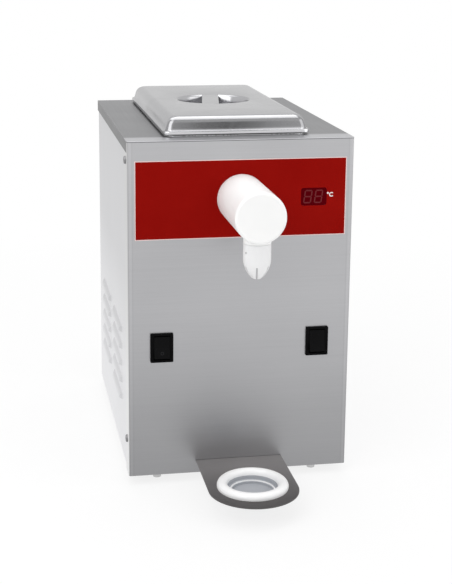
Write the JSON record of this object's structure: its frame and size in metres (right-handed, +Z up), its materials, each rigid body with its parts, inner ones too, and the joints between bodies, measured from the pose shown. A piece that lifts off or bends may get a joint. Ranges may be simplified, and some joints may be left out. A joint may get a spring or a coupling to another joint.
{
  "type": "cream whipping machine",
  "caption": "Counter-top cream whipping machine: steel casing with lidded cooled tank, gear pump, white outlet head with star tip, rocker switches and a drip tray.",
  "frame": {"origin": "on the floor under the middle of the overall box", "axes": "+Z up; the front with the outlet head and drip tray faces -Y; +X is on the right of someone facing the front"},
  "size_m": [0.2506, 0.4875, 0.4039],
  "materials": {
    "front_steel": "satin, fine horizontal grain",
    "side_steel": "satin, fine grain",
    "top_steel": "satin, fine grain",
    "rear_steel": "satin",
    "foot_steel": "dull zinc plating",
    "screw_steel": "polished",
    "label_film": "printed film, satin gloss",
    "window_film": "tinted gloss",
    "circuit_board": "solder mask",
    "switch_plastic": "fine texture",
    "rocker_plastic": "satin gloss",
    "lid_steel": "polished sheet",
    "gasket_rubber": "matte",
    "tank_steel": "fine polish",
    "foam": "rough cellular",
    "bracket_steel": "zinc grey",
    "copper_pipe": "dull copper",
    "pump_plastic": "food-grade plastic",
    "gear_plastic": "smooth",
    "shaft_steel": "ground",
    "black_rubber": "matte",
    "motor_paint": "satin",
    "compressor_paint": "satin",
    "white_plastic": "smooth satin",
    "cup_plastic": "smooth satin",
    "tray_steel": "satin",
    "condenser_fins": "thin sheet",
    "fan_plastic": "matte"
  },
  "bodies": {
    "machine": {"front_panel": "front_steel", "left_side_panel": "side_steel", "right_side_panel": "side_steel", "top_plate": "top_steel", "rear_panel": "rear_steel", "base_plate": "rear_steel", "feet": "foot_steel", "side_screws": "screw_steel", "rear_screws": "screw_steel", "pump_screws": "screw_steel", "motor_bolts": "screw_steel", "compressor_bolts": "screw_steel", "rocker_pins": "screw_steel", "idler_pin": "screw_steel", "temperature_probe": "screw_steel", "front_label": "label_film", "display_window": "window_film", "display_board": "circuit_board", "control_board": "circuit_board", "power_switch_housing": "switch_plastic", "dispense_switch_housing": "switch_plastic", "cream_tank": "tank_steel", "whip_tube": "tank_steel", "tank_insulation": "foam", "tank_shelf": "bracket_steel", "tray_rails": "bracket_steel", "fan_shroud": "bracket_steel", "evaporator_coil": "copper_pipe", "filter_dryer": "copper_pipe", "refrigerant_pipes": "copper_pipe", "pump_body": "pump_plastic", "pump_cover": "pump_plastic", "suction_strainer": "pump_plastic", "air_valve_body": "pump_plastic", "outlet_elbow": "pump_plastic", "labyrinth_core": "pump_plastic", "shaft_seal": "black_rubber", "tube_o_ring": "black_rubber", "compressor_grommets": "black_rubber", "cord_bush": "black_rubber", "pump_motor": "motor_paint", "fan_motor": "motor_paint", "compressor": "compressor_paint", "condenser": "condenser_fins"},
    "lid": {"lid": "lid_steel", "lid_gasket": "gasket_rubber"},
    "power_rocker": {"power_rocker": "rocker_plastic"},
    "dispense_rocker": {"dispense_rocker": "rocker_plastic"},
    "nozzle": {"nozzle_head": "white_plastic"},
    "star_tip": {"star_tip": "white_plastic"},
    "tray": {"drip_tray": "tray_steel"},
    "drip_cup": {"drip_cup": "cup_plastic"},
    "pump_drive": {"drive_gear": "gear_plastic", "drive_shaft": "shaft_steel", "shaft_coupling": "shaft_steel", "motor_shaft": "shaft_steel"},
    "idler": {"idler_gear": "gear_plastic"},
    "air_screw": {"air_adjust_screw": "shaft_steel"},
    "fan": {"fan_blade": "fan_plastic"}
  },
  "joints": [
    {"name": "lid_lift", "type": "slide", "parent": "machine", "child": "lid", "axis": [0, 0, 1], "range_m": [0, 0.09]},
    {"name": "power_rocker_tilt", "type": "hinge", "parent": "machine", "child": "power_rocker", "pos_m": [-0.086, -0.11075, 0.1575], "axis": [1, 0, 0], "range_deg": [0, 16]},
    {"name": "dispense_rocker_tilt", "type": "hinge", "parent": "machine", "child": "dispense_rocker", "pos_m": [0.086, -0.11075, 0.1575], "axis": [1, 0, 0], "range_deg": [0, 16], "stiffness_Nm_per_rad": 0.1, "springref_deg": -2.86},
    {"name": "nozzle_pull", "type": "slide", "parent": "machine", "child": "nozzle", "axis": [0, -1, 0], "range_m": [0, 0.07]},
    {"name": "star_tip_drop", "type": "slide", "parent": "nozzle", "child": "star_tip", "axis": [0, 0, -1], "range_m": [0, 0.025]},
    {"name": "tray_slide", "type": "slide", "parent": "machine", "child": "tray", "axis": [0, -1, 0], "range_m": [0, 0.06]},
    {"name": "cup_lift", "type": "slide", "parent": "tray", "child": "drip_cup", "axis": [0, 0, 1], "range_m": [0, 0.05]},
    {"name": "pump_turn", "type": "hinge", "parent": "machine", "child": "pump_drive", "pos_m": [-0.012, -0.03925, 0.271], "axis": [0, 0, 1], "continuous": true},
    {"name": "idler_turn", "type": "hinge", "parent": "machine", "child": "idler", "pos_m": [0.012, -0.03925, 0.271], "axis": [0, 0, 1], "continuous": true},
    {"name": "air_screw_turn", "type": "hinge", "parent": "machine", "child": "air_screw", "pos_m": [0, -0.02945, 0.311], "axis": [0, 0, 1], "range_deg": [0, 330]},
    {"name": "fan_turn", "type": "hinge", "parent": "machine", "child": "fan", "pos_m": [-0.06, 0.05775, 0.0662], "axis": [1, 0, 0], "continuous": true}
  ],
  "couplings": [
    {"joint": "idler_turn", "follows": "pump_turn", "ratio": -1}
  ]
}
